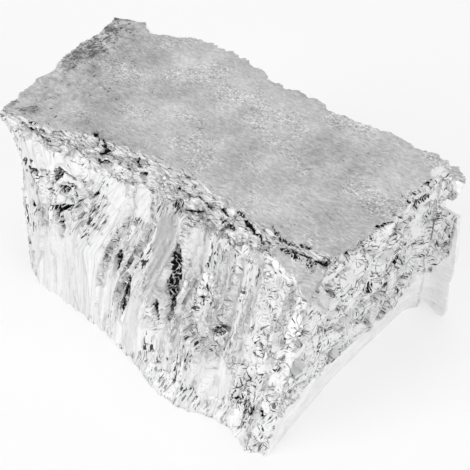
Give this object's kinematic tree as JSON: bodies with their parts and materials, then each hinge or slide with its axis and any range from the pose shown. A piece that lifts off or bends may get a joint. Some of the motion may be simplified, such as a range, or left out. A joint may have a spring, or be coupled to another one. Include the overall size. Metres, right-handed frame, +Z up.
{
  "type": "zinc ingot",
  "caption": "Chunk broken from a cast zinc ingot: flat dull top, coarse crystalline fractures at the front and ends, a smooth mould wall at the back that ends in a fin.",
  "frame": {"origin": "middle of the bounding box at the foot, on the floor", "axes": "+X along the length, towards the end with the fin; +Y from the front fracture towards the mould wall; +Z up, from the foot to the flat top"},
  "size_m": [0.0918, 0.059, 0.044],
  "materials": {
    "zinc": "dull oxidised cast top, bright coarse fracture, smooth grey mould skin"
  },
  "bodies": {
    "root": {"zinc_ingot": "zinc"}
  },
  "joints": []
}
